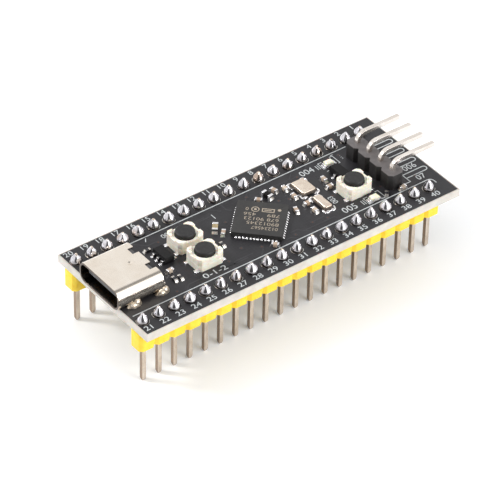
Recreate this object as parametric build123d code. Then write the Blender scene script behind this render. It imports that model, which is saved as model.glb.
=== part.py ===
from build123d import *
import math
import os

# Microcontroller development board with two soldered pin rows, a USB-C socket,
# three push buttons and an upright bent-pin debug header.
# Millimetres. Origin: centre of the pin grid, in the plane of the pin tips.
# +X runs from the USB end to the debug end, +Y to the back pin row, +Z up.

# Pin rows
pitch = 2.54
pins_per_row = 20
row_spacing = 15.24
pin_side = 0.64
pin_tip_side = 0.42
pin_tip_length = 0.4
pin_head_side = 0.24
pin_head_length = 0.62
pin_below = 6.0
pin_above_board = 1.4
insulator_height = 2.8
insulator_width = 2.54
insulator_chamfer = 0.45

# Circuit board
board_length = 52.8
board_width = 20.4
board_thickness = 1.2
board_offset_x = 1.12
pin_hole_radius = 0.5
board_bottom = pin_below + insulator_height
board_top = board_bottom + board_thickness

# Solder joints of the pins
joint_base_radius = 0.82
joint_waist_radius = 0.86
joint_neck_radius = 0.6
joint_height = 1.22
joint_height_spread = 0.06

# Debug header
debug_pins = 4
debug_x = 20.6
debug_block_height = 2.54
debug_chamfer = 0.5
debug_bend_radius = 1.29
debug_pin_end_x = 27.95
debug_tail_below_board = 1.3
debug_end_side = 0.44
debug_end_length = 0.22

# USB-C socket
usb_mouth_x = -25.75
usb_length = 7.35
usb_width = 8.94
usb_height = 3.2
usb_corner_radius = 1.25
usb_wall = 0.3
usb_notch_depth = 0.95
usb_notch_inner_y = 1.3
usb_notch_outer_y = 2.6
usb_flap_thickness = 0.3
usb_rear_gap = 1.0
usb_gap_half_width = 3.1
usb_dimple_radius = 0.36
usb_leg_xs = (-22.9, -18.72)
usb_leg_length = 1.1
usb_leg_below_board = 0.25
usb_slot_length = 1.7
usb_slot_width = 0.7
tongue_width = 6.69
tongue_thickness = 0.7
tongue_front_x = -25.0
tongue_root_x = -20.6
contact_pitch = 0.5
contacts_per_side = 12
contact_width = 0.26
contact_proud = 0.04
tail_end_x = -17.78
tail_width = 0.28
tail_thickness = 0.16

# Push buttons
switches = {"reset": (-10.2, 2.12), "boot": (-10.2, -2.35), "user": (15.45, -2.0)}
switch_length = 4.2
switch_width = 3.4
switch_corner = 0.42
switch_split_z = 1.0
switch_deck_z = 1.78
switch_boss_z = 2.06
switch_cavity_radius = 1.54
switch_floor_z = 0.3
switch_hole_radius = 1.46
boss_inner_radius = 1.78
button_radius = 1.42
button_flange_radius = 1.5
button_top_z = 2.44
button_flange_top_z = 1.18
button_flange_bottom_z = 0.86
button_nub_radius = 0.4
button_travel = 0.25
dome_radius = 1.34
dome_height = 0.36
dome_sheet = 0.05
foot_spacing = 2.3
foot_width = 0.6
foot_reach = 0.42
foot_thickness = 0.16

# Microcontroller, a square leadless package turned by 45 degrees
mcu_x, mcu_y = 0.70, -0.15
mcu_side = 7.05
mcu_height = 0.85
mcu_standoff = 0.05
mcu_pads_per_side = 12
mcu_pad_pitch = 0.5
mcu_pad_width = 0.26
mcu_pad_reach = 0.3

# Crystals: (x, y, length along X, length along Y)
main_crystal = (10.08, 2.36, 2.5, 3.2)
clock_crystal = (10.12, -1.86, 1.5, 3.2)
crystal_base_height = 0.38
crystal_height = 0.65
crystal_lid_inset = 0.15

# Light-emitting diodes, lying along X
leds = {"user": (16.3, 4.64), "power": (16.58, -5.12)}
led_length = 1.7
led_width = 0.95
led_base_height = 0.28
led_height = 0.62
led_end = 0.3

# Gull-wing packages: (x, y, body size along X, body size along Y)
small_body_height = 1.08
small_body_gap = 0.08
regulator = (-14.24, 1.45, 1.6, 2.9)
transistor = (16.05, 1.85, 1.6, 2.9)
lead_width = 0.4
lead_sheet = 0.13
lead_reach = 0.6
lead_pitch = 0.95

# Two-terminal parts: (x, y, turn in degrees)
small_capacitors = [
    (-15.3, -1.5, 0), (3.4, 3.7, -45), (6.4, 4.2, 105), (6.2, -1.05, 75), (-0.62, -5.32, -45),
    (7.85, 3.65, 90), (7.87, 1.55, 90),
    (8.4, -0.72, 0), (8.3, -2.5, 90), (21.2, -5.62, 0), (13.15, 0.42, 0), (-4.75, 0.8, 45),
    (13.5, 2.15, 90),
]
large_capacitors = [(-5.1, 2.2, 50)]
ferrites = [(4.95, 3.78, 100)]
resistors = [
    (-15.8, -3.15, 90), (-14.93, -3.35, 90), (-6.3, -1.05, 90), (18.6, -5.3, 50), (-15.2, 3.8, 0),
]
small_size = (1.05, 0.58, 0.55)
large_size = (1.6, 0.8, 0.75)
resistor_size = (1.0, 0.5, 0.36)
terminal_share = 0.24
terminal_lip = 0.015
fillet_reach = 0.2


def block(x0, x1, y0, y1, z0, z1):
    """Box between two corners."""
    return Pos((x0 + x1) / 2, (y0 + y1) / 2, (z0 + z1) / 2) * Box(x1 - x0, y1 - y0, z1 - z0)


def rod(x, y, radius, z0, z1):
    """Upright cylinder."""
    return Pos(x, y, (z0 + z1) / 2) * Cylinder(radius, z1 - z0)


def prism(points, z0, z1):
    """Upright prism over a polygon."""
    return Pos(0, 0, z0) * extrude(make_face(Polyline(*points, close=True)), z1 - z0)


def side_prism(points, width):
    """Prism over a polygon given in X and Z, centred on Y = 0."""
    face = Plane.XZ * make_face(Polyline(*points, close=True))
    return extrude(face, width / 2, both=True)


def turned(profile_points):
    """Body of revolution about Z from (radius, height) points."""
    return revolve(Plane.XZ * make_face(Polyline(*profile_points, close=True)), Axis.Z)


def save(name, *shapes):
    """Write the solids of one named piece to a STEP file."""
    solids = [solid for shape in shapes for solid in shape.solids()]
    export_step(Compound(solids), os.path.join("parts", name + ".step"))


def place(shape, x, y, angle=0, z=board_top):
    return Pos(x, y, z) * Rot(0, 0, angle) * shape


def mirrored_x(shape):
    return Rot(0, 0, 180) * shape


def row_positions(count, step):
    return [(i - (count - 1) / 2) * step for i in range(count)]


pin_xs = row_positions(pins_per_row, pitch)
debug_ys = row_positions(debug_pins, pitch)
rows = {"front": -row_spacing / 2, "back": row_spacing / 2}
board_x0 = board_offset_x - board_length / 2
board_x1 = board_offset_x + board_length / 2


def taper(big, small, z_big, z_small):
    """Four-sided taper between two squares."""
    return loft([Pos(0, 0, z_big) * Rectangle(big, big), Pos(0, 0, z_small) * Rectangle(small, small)])


def notched_strip(count, width, corner, height):
    """Row of eight-sided cells along X that share their flat sides."""
    half, upper, lower = width / 2, [], []
    start = -count * pitch / 2
    for i in range(count):
        left, right = start + i * pitch, start + (i + 1) * pitch
        upper += [(left, half - corner), (left + corner, half), (right - corner, half)]
        lower += [(left, corner - half), (left + corner, -half), (right - corner, -half)]
    upper.append((start + count * pitch, half - corner))
    lower.append((start + count * pitch, corner - half))
    return prism(upper + lower[::-1], 0, height)


def make_board():
    board = block(board_x0, board_x1, -board_width / 2, board_width / 2, board_bottom, board_top)
    spots = [(x, y) for x in pin_xs for y in rows.values()] + [(debug_x, y) for y in debug_ys]
    holes = [rod(x, y, pin_hole_radius, board_bottom - 1, board_top + 1) for x, y in spots]
    slot = extrude(SlotOverall(usb_slot_length, usb_slot_width), board_thickness + 2)
    leg_y = usb_width / 2 - usb_wall / 2
    holes += [Pos(x, side * leg_y, board_bottom - 1) * slot for x in usb_leg_xs for side in (-1, 1)]
    save("pcb_board", board - holes)


def solder_joint(height, pin):
    """Mound of solder around a pin with its plug in the board's hole; the board's top is at 0."""
    mound = turned([
        (0, 0), (joint_base_radius, 0), (joint_waist_radius, 0.22), (joint_waist_radius * 0.94, 0.5),
        (joint_neck_radius, 0.88), (joint_neck_radius * 0.58, height), (0, height),
    ])
    plug = rod(0, 0, pin_hole_radius, -board_thickness, 0)
    return mound + plug - pin


def make_pin_rows():
    pin_top = board_top + pin_above_board
    shaft_low, shaft_high = pin_tip_length, pin_top - pin_head_length
    pin = block(-pin_side / 2, pin_side / 2, -pin_side / 2, pin_side / 2, shaft_low, shaft_high)
    pin += taper(pin_side, pin_tip_side, shaft_low, 0)
    pin += taper(pin_side, pin_head_side, shaft_high, pin_top)
    pin_at_joint = Pos(0, 0, -board_top) * pin
    joints = [solder_joint(joint_height + joint_height_spread * math.sin(2.4 * i), pin_at_joint)
              for i in range(5)]
    shafts = [block(x - pin_side / 2, x + pin_side / 2, -pin_side / 2, pin_side / 2, -1, 4) for x in pin_xs]
    strip = notched_strip(pins_per_row, insulator_width, insulator_chamfer, insulator_height) - shafts
    for row, y in rows.items():
        save(row + "_header_insulator", Pos(0, y, pin_below) * strip)
        save(row + "_header_pins", *[Pos(x, y, 0) * pin for x in pin_xs])
        shift = 0 if row == "front" else 2
        save(row + "_header_solder",
             *[Pos(x, y, board_top) * joints[(3 * i + shift) % 5] for i, x in enumerate(pin_xs)])


def make_debug_header():
    half = pin_side / 2
    block_top = board_top + debug_block_height
    tail_z = board_bottom - debug_tail_below_board
    run_z = block_top + debug_bend_radius
    bend_x = debug_x + debug_bend_radius
    ring = Cylinder(debug_bend_radius + half, pin_side) - Cylinder(debug_bend_radius - half, pin_side)
    bend = (Pos(bend_x, 0, block_top) * Rot(90, 0, 0) * ring) & block(
        debug_x - half, bend_x, -half, half, block_top, run_z + half)
    pin = bend + block(debug_x - half, debug_x + half, -half, half, tail_z + pin_tip_length, block_top)
    pin += block(bend_x, debug_pin_end_x - debug_end_length, -half, half, run_z - half, run_z + half)
    pin += Pos(debug_x, 0, tail_z) * taper(pin_side, pin_tip_side, pin_tip_length, 0)
    pin += Pos(debug_pin_end_x, 0, run_z) * Rot(0, -90, 0) * taper(
        pin_side, debug_end_side, debug_end_length, 0)
    save("debug_header_pins", *[Pos(0, y, 0) * pin for y in debug_ys])

    shafts = [block(y - half, y + half, -half, half, -1, 4) for y in debug_ys]
    strip = notched_strip(debug_pins, insulator_width, debug_chamfer, debug_block_height) - shafts
    save("debug_header_insulator", Pos(debug_x, 0, board_top) * Rot(0, 0, 90) * strip)

    tail = block(-half, half, -half, half, -3, 3)
    joint = Pos(0, 0, board_bottom) * Rot(180, 0, 0) * solder_joint(joint_height * 0.85, tail)
    save("debug_header_solder", *[Pos(debug_x, y, 0) * joint for y in debug_ys])


def rounded_bar(width, height, radius, x0, x1):
    """Rounded rectangle across Y and Z, standing on the board, running along X."""
    face = Plane.YZ * RectangleRounded(width, height, radius)
    return Pos(x0, 0, board_top + usb_height / 2) * extrude(face, x1 - x0)


def make_usb_socket():
    rear_x = usb_mouth_x + usb_length
    shell_top = board_top + usb_height
    inner_width, inner_height = usb_width - 2 * usb_wall, usb_height - 2 * usb_wall
    inner_radius = usb_corner_radius - usb_wall
    shell = rounded_bar(usb_width, usb_height, usb_corner_radius, usb_mouth_x, rear_x)
    shell -= rounded_bar(inner_width, inner_height, inner_radius, usb_mouth_x - 1, rear_x + 1)
    for side in (-1, 1):
        ys = sorted((side * usb_notch_inner_y, side * usb_notch_outer_y))
        shell -= block(rear_x - usb_notch_depth, rear_x + 1, *ys, shell_top - usb_wall - 0.2, shell_top + 1)
    shell -= block(rear_x - usb_rear_gap, rear_x + 1, -usb_gap_half_width, usb_gap_half_width,
                   board_top - 1, board_top + usb_wall + 0.02)
    flap_x = rear_x - usb_flap_thickness
    shell += block(flap_x, rear_x, -usb_notch_inner_y, usb_notch_inner_y,
                   board_top + 0.55, shell_top - usb_wall / 2)
    shell -= Pos(rear_x - 2.35, 0, shell_top + 0.5) * Sphere(math.hypot(usb_dimple_radius, 0.5) + 0.02)
    leg_outer = usb_width / 2
    for x in usb_leg_xs:
        for side in (-1, 1):
            ys = sorted((side * (leg_outer - usb_wall), side * leg_outer))
            shell += block(x - usb_leg_length / 2, x + usb_leg_length / 2, *ys,
                           board_bottom - usb_leg_below_board, board_top + usb_height / 2)
    save("usb_shell", shell)

    slot_plug = extrude(SlotOverall(usb_slot_length, usb_slot_width), board_thickness)
    collar = extrude(Ellipse(usb_slot_length / 2 + 0.15, usb_slot_width / 2 + 0.4), 0.42, taper=38)
    leg = block(-usb_leg_length / 2, usb_leg_length / 2, -usb_wall / 2, usb_wall / 2, -3, 3)
    ears = []
    for x in usb_leg_xs:
        for side in (-1, 1):
            ear = Pos(0, 0, -board_thickness) * slot_plug + collar - leg
            y = side * (leg_outer - usb_wall / 2)
            ears.append(Pos(x, y, board_top) * ear - rounded_bar(
                usb_width, usb_height, usb_corner_radius, usb_mouth_x, rear_x))
    save("usb_leg_solder", *ears)

    root = rounded_bar(inner_width, inner_height, inner_radius, tongue_root_x, flap_x)
    tongue_z = board_top + usb_height / 2
    half_t, half_w = tongue_thickness / 2, tongue_width / 2
    tongue = block(tongue_front_x, tongue_root_x, -half_w, half_w, tongue_z - half_t, tongue_z + half_t)
    tongue = chamfer(tongue.edges().filter_by(Axis.Y).group_by(Axis.X)[0], 0.15)
    save("usb_tongue", root + tongue)

    strips = []
    for y in row_positions(contacts_per_side, contact_pitch):
        for side in (-1, 1):
            zs = sorted((tongue_z + side * half_t, tongue_z + side * (half_t + contact_proud)))
            strips.append(block(tongue_front_x + 0.35, tongue_root_x - 0.02,
                                y - contact_width / 2, y + contact_width / 2, *zs))
    save("usb_contacts", *strips)

    riser_x = rear_x - usb_rear_gap + 0.1
    half_tail = tail_width / 2
    tail = block(riser_x, tail_end_x, -half_tail, half_tail, board_top, board_top + tail_thickness)
    tail += block(riser_x, riser_x + tail_thickness, -half_tail, half_tail, board_top, board_top + usb_wall)
    save("usb_tails", *[Pos(0, y, 0) * tail for y in row_positions(contacts_per_side, contact_pitch)])


def chamfered_plan(length, width, corner):
    """Corner points of a rectangle with cut corners."""
    a, b = length / 2, width / 2
    return [(a, b - corner), (a - corner, b), (corner - a, b), (-a, b - corner),
            (-a, corner - b), (corner - a, -b), (a - corner, -b), (a, corner - b)]


def make_switch(name, x, y):
    plan = chamfered_plan(switch_length, switch_width, switch_corner)
    base = prism(plan, 0, switch_split_z) - rod(0, 0, switch_cavity_radius, switch_floor_z, 3)
    feet_ys = (-foot_spacing / 2, foot_spacing / 2)
    feet = []
    for side in (-1, 1):
        inner, outer = side * (switch_length / 2 - 0.3), side * (switch_length / 2 + foot_reach)
        for foot_y in feet_ys:
            feet.append(block(*sorted((inner, outer)), foot_y - foot_width / 2, foot_y + foot_width / 2,
                              0, foot_thickness))
    save(name + "_switch_base", place(base - feet, x, y))
    save(name + "_switch_feet", *[place(foot, x, y) for foot in feet])

    cover = prism(plan, switch_split_z, switch_boss_z)
    deck = prism(chamfered_plan(switch_length + 1, switch_width + 1, 0.1), switch_deck_z, 3)
    bosses = prism(plan, switch_deck_z, 3) - rod(0, 0, boss_inner_radius, 0, 4)
    bosses -= block(-0.95, 0.95, -3, 3, 0, 4)
    bosses -= block(-3, 3, -0.55, 0.55, 0, 4)
    cover -= deck - bosses
    cover -= rod(0, 0, switch_hole_radius, 0, 4)
    cover -= rod(0, 0, switch_cavity_radius, 0, button_flange_top_z + 0.02)
    for side in (-1, 1):
        cover -= rod(side * 1.62, -side * 1.12, 0.13, switch_boss_z - 0.2, 3)
    save(name + "_switch_cover", place(cover, x, y))

    button = turned([
        (0, button_flange_bottom_z), (button_flange_radius, button_flange_bottom_z),
        (button_flange_radius, button_flange_top_z), (button_radius, button_flange_top_z),
        (button_radius, switch_boss_z + 0.02), (button_radius - 0.06, button_top_z - 0.12),
        (button_radius - 0.16, button_top_z - 0.02), (button_radius - 0.24, button_top_z),
        (0, button_top_z),
    ])
    nub_z = switch_floor_z + dome_height + 0.01
    button += rod(0, 0, button_nub_radius, nub_z, button_flange_bottom_z + 0.1)
    save(name + "_switch_button", place(button, x, y))

    bulge = (dome_radius ** 2 + dome_height ** 2) / (2 * dome_height)
    rise = switch_floor_z + dome_height - bulge
    dome = Pos(0, 0, rise) * Sphere(bulge) - Pos(0, 0, rise) * Sphere(bulge - dome_sheet)
    dome &= rod(0, 0, dome_radius, switch_floor_z, 2)
    save(name + "_switch_dome", place(dome, x, y))


def make_mcu():
    corner = 0.12
    plan = chamfered_plan(mcu_side, mcu_side, corner)
    package = prism(plan, mcu_standoff, mcu_height)
    half = mcu_side / 2
    package -= Pos(half - 0.75, 0.75 - half, mcu_height) * Cylinder(0.22, 0.06)
    wedge = side_prism([(half - 0.35, 0), (half + mcu_pad_reach, 0), (half + mcu_pad_reach * 0.7, 0.1),
                        (half + 0.01, 0.24), (half, 0.24), (half - 0.35, 0.24)], mcu_pad_width)
    pads = [Rot(0, 0, 90 * side) * Pos(0, y, 0) * wedge
            for side in range(4) for y in row_positions(mcu_pads_per_side, mcu_pad_pitch)]
    save("mcu_package", place(package - pads, mcu_x, mcu_y, 45))
    save("mcu_pads", *[place(pad, mcu_x, mcu_y, 45) for pad in pads])


def make_crystal(name, x, y, size_x, size_y, pad_centres, pad_size):
    pad_height = 0.08
    base = prism(chamfered_plan(size_x, size_y, 0.12), pad_height, crystal_base_height)
    lid_x, lid_y = size_x - 2 * crystal_lid_inset, size_y - 2 * crystal_lid_inset
    lid = extrude(RectangleRounded(lid_x, lid_y, 0.22), crystal_height - crystal_base_height)
    lid = fillet(lid.edges().group_by(Axis.Z)[-1], 0.12)
    save(name + "_crystal_base", place(base, x, y))
    save(name + "_crystal_lid", place(Pos(0, 0, crystal_base_height) * lid, x, y))
    pads = [place(block(px - pad_size[0] / 2, px + pad_size[0] / 2, py - pad_size[1] / 2,
                        py + pad_size[1] / 2, 0, pad_height), x, y) for px, py in pad_centres]
    save(name + "_crystal_pads", *pads)


def make_led(name, x, y):
    half = led_length / 2
    base = block(-half + led_end, half - led_end, -led_width / 2, led_width / 2, 0, led_base_height)
    lens = block(-half + led_end - 0.06, half - led_end + 0.06, -led_width / 2, led_width / 2,
                 led_base_height, led_height)
    lens = chamfer(lens.edges().group_by(Axis.Z)[-1], 0.1)
    ends = [block(*sorted((side * half, side * (half - led_end))), -led_width / 2, led_width / 2, 0,
                  led_base_height) for side in (-1, 1)]
    fillets = [block(*sorted((side * half, side * (half + 0.22))), -led_width / 2, led_width / 2, 0, 0.1)
               for side in (-1, 1)]
    save(name + "_led_base", place(base, x, y))
    save(name + "_led_lens", place(lens, x, y))
    save(name + "_led_ends", *[place(end + foot, x, y) for end, foot in zip(ends, fillets)])


def gull_lead(body_half):
    """Bent lead leaving a body at +X, given in X and Z."""
    knee, tip = body_half + 0.24, body_half + lead_reach
    return side_prism([
        (body_half, 0.52), (knee - 0.04, 0.52), (knee + 0.06, lead_sheet), (tip, lead_sheet), (tip, 0),
        (knee - 0.04, 0), (knee - 0.14, 0.52 - lead_sheet), (body_half, 0.52 - lead_sheet)], lead_width)


def moulded_body(size_x, size_y, height):
    """Moulded package with drafted upper and lower halves."""
    middle = height * 0.42
    draft = 0.09
    wide = Rectangle(size_x, size_y)
    slim = Rectangle(size_x - 2 * draft, size_y - 2 * draft)
    low = loft([Pos(0, 0, small_body_gap) * slim, Pos(0, 0, middle) * wide])
    high = loft([Pos(0, 0, middle) * wide, Pos(0, 0, height) * slim])
    return low + high


def make_gull_part(name, x, y, size_x, size_y, height, left_ys, right_ys):
    body = moulded_body(size_x, size_y, height)
    root = block(size_x / 2 - 0.25, size_x / 2, -lead_width / 2, lead_width / 2, 0.52 - lead_sheet, 0.52)
    lead = gull_lead(size_x / 2) + root
    leads = [Pos(0, ly, 0) * lead for ly in right_ys]
    leads += [mirrored_x(Pos(0, -ly, 0) * lead) for ly in left_ys]
    save(name + "_body", place(body - leads, x, y))
    save(name + "_leads", *[place(one, x, y) for one in leads])


def two_terminal(size):
    """Body, end caps and solder fillets of a chip part lying along X."""
    length, width, height = size
    cap = length * terminal_share
    inner = length / 2 - cap
    body = block(-inner, inner, terminal_lip - width / 2, width / 2 - terminal_lip,
                 0.02, height - terminal_lip)
    caps = [block(*sorted((side * inner, side * length / 2)), -width / 2, width / 2, 0, height)
            for side in (-1, 1)]
    rise = min(height * 0.75, 0.4)
    end = length / 2
    ramp = side_prism([(end, 0), (end + fillet_reach, 0), (end + fillet_reach * 0.8, 0.06),
                       (end + 0.05, rise * 0.6), (end, rise)], width)
    return body, caps, [ramp, mirrored_x(ramp)]


def make_chip_parts():
    groups = {
        "small_capacitor": (small_capacitors, small_size),
        "large_capacitor": (large_capacitors, large_size),
        "ferrite": (ferrites, large_size),
        "resistor": (resistors, resistor_size),
    }
    all_fillets = []
    for name, (spots, size) in groups.items():
        body, caps, ramps = two_terminal(size)
        save(name + "_bodies", *[place(body, *spot) for spot in spots])
        save(name + "_ends", *[place(cap, *spot) for spot in spots for cap in caps])
        all_fillets += [place(ramp, *spot) for spot in spots for ramp in ramps]
    save("chip_part_solder", *all_fillets)


def crystal_pads_four(size_x, size_y):
    return [(sx * (size_x / 2 - 0.25), sy * (size_y / 2 - 0.35)) for sx in (-1, 1) for sy in (-1, 1)]


os.makedirs("parts", exist_ok=True)
make_board()
make_pin_rows()
make_debug_header()
make_usb_socket()
for switch_name, (sx, sy) in switches.items():
    make_switch(switch_name, sx, sy)
make_mcu()
make_crystal("main", *main_crystal, crystal_pads_four(main_crystal[2], main_crystal[3]), (1.0, 1.1))
clock_pad_y = clock_crystal[3] / 2 - 0.2
make_crystal("clock", *clock_crystal, [(0, -clock_pad_y), (0, clock_pad_y)], (1.75, 0.9))
for led_name, (lx, ly) in leds.items():
    make_led(led_name, lx, ly)
outer_leads = (-lead_pitch, lead_pitch)
make_gull_part("regulator", *regulator, small_body_height, (*outer_leads, 0), outer_leads)
make_gull_part("transistor", *transistor, small_body_height, (0,), outer_leads)
make_chip_parts()
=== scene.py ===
import math
import random

import bmesh
import bpy
from mathutils import Matrix, Vector, noise


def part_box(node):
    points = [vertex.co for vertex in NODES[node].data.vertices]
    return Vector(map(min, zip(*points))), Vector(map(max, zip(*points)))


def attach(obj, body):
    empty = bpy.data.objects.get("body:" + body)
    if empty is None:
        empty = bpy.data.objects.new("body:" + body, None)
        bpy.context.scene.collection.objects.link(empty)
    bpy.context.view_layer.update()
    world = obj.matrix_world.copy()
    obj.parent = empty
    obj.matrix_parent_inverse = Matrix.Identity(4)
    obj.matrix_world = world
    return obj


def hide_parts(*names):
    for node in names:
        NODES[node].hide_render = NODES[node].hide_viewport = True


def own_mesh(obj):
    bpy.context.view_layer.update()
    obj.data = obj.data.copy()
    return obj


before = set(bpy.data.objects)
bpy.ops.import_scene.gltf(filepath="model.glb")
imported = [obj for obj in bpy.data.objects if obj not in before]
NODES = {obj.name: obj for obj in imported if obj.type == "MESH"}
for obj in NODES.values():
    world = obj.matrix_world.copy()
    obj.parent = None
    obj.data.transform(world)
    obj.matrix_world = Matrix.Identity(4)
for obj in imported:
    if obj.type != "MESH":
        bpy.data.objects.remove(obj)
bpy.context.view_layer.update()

# Looks of a microcontroller development board standing on its two pin rows.
# Lengths in this file are millimetres; MM turns them into the frame's metres.
MM = 0.001


def box_mm(node):
    """Lowest and highest corner of a CAD node, in millimetres."""
    low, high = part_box(node)
    return low / MM, high / MM


def middle(node):
    """Middle of a CAD node's box, in millimetres."""
    low, high = box_mm(node)
    return (low + high) / 2


board_low, board_high = box_mm("pcb_board")
TOP, BOTTOM = board_high.z, board_low.z
PITCH = 2.54
PINS = 20              # in each row
DEBUG_PINS = 4
pin_low, pin_high = box_mm("front_header_pins")
PIN_SIDE = pin_high.y - pin_low.y
pin_xs = [pin_low.x + PIN_SIDE / 2 + PITCH * i for i in range(PINS)]
row_y = {"front": middle("front_header_pins").y, "back": middle("back_header_pins").y}
debug_low, debug_high = box_mm("debug_header_insulator")
DEBUG_X = (debug_low.x + debug_high.x) / 2
usb_low, usb_high = box_mm("usb_shell")
USB_MIDDLE_Z = TOP + 1.6      # middle of the shell's tube
button_top = box_mm("user_switch_button")[1].z
debug_ys = [(i - (DEBUG_PINS - 1) / 2) * PITCH for i in range(DEBUG_PINS)]

MASK_THICK = 0.03      # solder mask over the board
MASK_INSET = 0.17      # bare laminate left along the board's edges
SILK_THICK = 0.014     # printing over the mask
TRACK_RISE = 0.012     # how far the mask stands up over a copper track
PAD_RADIUS = 0.92
MASK_TOP = TOP + MASK_THICK


# ---------------------------------------------------------------- materials

def linear(r, g, b):
    """Colour given as 0-255 screen values, as the shader wants it."""
    levels = (c / 255 / 12.92 if c <= 10 else ((c / 255 + 0.055) / 1.055) ** 2.4 for c in (r, g, b))
    return (*levels, 1.0)


def link(tree, start, end):
    tree.links.new(start, end)


def scaled_place(tree, stretch, offset=(0, 0, 0)):
    """Object coordinates in millimetres, stretched per axis."""
    where = tree.nodes.new("ShaderNodeTexCoord")
    mapping = tree.nodes.new("ShaderNodeMapping")
    mapping.inputs["Scale"].default_value = [s / MM for s in stretch]
    mapping.inputs["Location"].default_value = offset
    link(tree, where.outputs["Object"], mapping.inputs["Vector"])
    return mapping.outputs["Vector"]


def noise_on(tree, vector, grain, detail=3.0, roughness=0.55):
    """Noise whose features are about `grain` millimetres."""
    n = tree.nodes.new("ShaderNodeTexNoise")
    n.inputs["Scale"].default_value = 1 / grain
    n.inputs["Detail"].default_value = detail
    n.inputs["Roughness"].default_value = roughness
    link(tree, vector, n.inputs["Vector"])
    return n.outputs["Fac"]


def ranged(tree, value, low, high, out_low, out_high):
    """Value moved from one range to another, and held at its ends."""
    m = tree.nodes.new("ShaderNodeMapRange")
    for socket, number in zip(("From Min", "From Max", "To Min", "To Max"), (low, high, out_low, out_high)):
        m.inputs[socket].default_value = number
    link(tree, value, m.inputs["Value"])
    return m.outputs["Result"]


def axis_of(tree, vector, axis):
    """One coordinate of a vector socket."""
    parts = tree.nodes.new("ShaderNodeSeparateXYZ")
    link(tree, vector, parts.inputs[0])
    return parts.outputs[axis]


def arithmetic(tree, operation, a, b):
    """One maths node; each side is a socket or a number."""
    node = tree.nodes.new("ShaderNodeMath")
    node.operation = operation
    for value, socket in ((a, node.inputs[0]), (b, node.inputs[1])):
        if isinstance(value, (int, float)):
            socket.default_value = value
        else:
            link(tree, value, socket)
    return node.outputs[0]


def mixed(tree, factor, a, b):
    """Colour between a and b; each is a colour or a socket."""
    m = tree.nodes.new("ShaderNodeMix")
    m.data_type = "RGBA"
    link(tree, factor, m.inputs[0])
    for socket, value in ((m.inputs[6], a), (m.inputs[7], b)):
        if isinstance(value, tuple):
            socket.default_value = value
        else:
            link(tree, value, socket)
    return m.outputs[2]


def relief(tree, heights, shader):
    """Chain of bumps from (height socket, depth in mm)."""
    normal = None
    for height, depth in heights:
        b = tree.nodes.new("ShaderNodeBump")
        b.inputs["Distance"].default_value = depth * MM
        link(tree, height, b.inputs["Height"])
        if normal is not None:
            link(tree, normal, b.inputs["Normal"])
        normal = b.outputs["Normal"]
    link(tree, normal, shader.inputs["Normal"])


def finish_of(name, dark, light, rough, grain=0.6, stretch=(1, 1, 1), fine=0.08, depth=0.002, streak=None,
              extra=None, **sockets):
    """Procedural surface: two tones over a soft noise, varied roughness, and a fine relief.

    streak: optional stretch of a second, directional noise for brushed or drawn metal.
    extra: function(tree, colour socket, vector) that returns a new colour socket.
    """
    material = bpy.data.materials.new(name)
    material.use_nodes = True
    tree = material.node_tree
    shader = tree.nodes["Principled BSDF"]
    for socket, value in sockets.items():
        shader.inputs[socket.replace("_", " ")].default_value = value
    place = scaled_place(tree, stretch)
    broad = noise_on(tree, place, grain)
    colour = mixed(tree, ranged(tree, broad, 0.3, 0.7, 0, 1), dark, light)
    if extra:
        colour = extra(tree, colour, place)
    link(tree, colour, shader.inputs["Base Color"])
    small = noise_on(tree, place, fine, 4.0, 0.6)
    heights = [(small, depth)]
    if streak:
        lines = noise_on(tree, scaled_place(tree, streak), 0.05, 2.0)
        heights.append((lines, depth * 0.7))
        small = lines
    link(tree, ranged(tree, small, 0.3, 0.7, *rough), shader.inputs["Roughness"])
    relief(tree, heights, shader)
    return material


def specks(colour, grain, threshold, strength=1.0):
    """Extra layer: scattered specks of another colour."""
    def layer(tree, under, place):
        cells = noise_on(tree, place, grain, 5.0, 0.75)
        return mixed(tree, ranged(tree, cells, threshold, threshold + 0.05, 0, strength), under, colour)
    return layer


WAVE_LENGTH = 0.314      # length of one band of the wave texture at scale 1


def strata(colour, spacing, strength):
    """Extra layer: level lines, as the glass layers show on a cut laminate edge."""
    def layer(tree, under, place):
        w = tree.nodes.new("ShaderNodeTexWave")
        w.bands_direction = "Z"
        w.inputs["Scale"].default_value = WAVE_LENGTH / spacing
        w.inputs["Distortion"].default_value = 1.6
        w.inputs["Detail"].default_value = 2.0
        w.inputs["Detail Scale"].default_value = 3.0
        link(tree, place, w.inputs["Vector"])
        return mixed(tree, ranged(tree, w.outputs["Fac"], 0.55, 0.95, 0, strength), under, colour)
    return layer


def weave(colour, pitch, strength):
    """Extra layer: faint square glass weave under the mask."""
    def layer(tree, under, place):
        out = under
        for axis in ("X", "Y"):
            w = tree.nodes.new("ShaderNodeTexWave")
            w.bands_direction = axis
            w.inputs["Scale"].default_value = WAVE_LENGTH / pitch
            w.inputs["Distortion"].default_value = 0.8
            w.inputs["Detail Scale"].default_value = 2.0
            link(tree, place, w.inputs["Vector"])
            out = mixed(tree, ranged(tree, w.outputs["Fac"], 0.6, 1.0, 0, strength), out, colour)
        return out
    return layer


def layers(*steps):
    """Several extra layers, one over the other."""
    def layer(tree, under, place):
        for step in steps:
            under = step(tree, under, place)
        return under
    return layer


def painted_shade(colour, low, high):
    """Extra layer: painted shade that deepens from high down to low, in mm of height."""
    def layer(tree, under, place):
        return mixed(tree, ranged(tree, axis_of(tree, place, "Z"), low, high, 1, 0), under, colour)
    return layer


def sheared_edge(colour, x):
    """Extra layer: raw cut edge where X is below the value, in mm."""
    def layer(tree, under, place):
        return mixed(tree, ranged(tree, axis_of(tree, place, "X"), x, x + 0.02, 1, 0), under, colour)
    return layer


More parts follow.
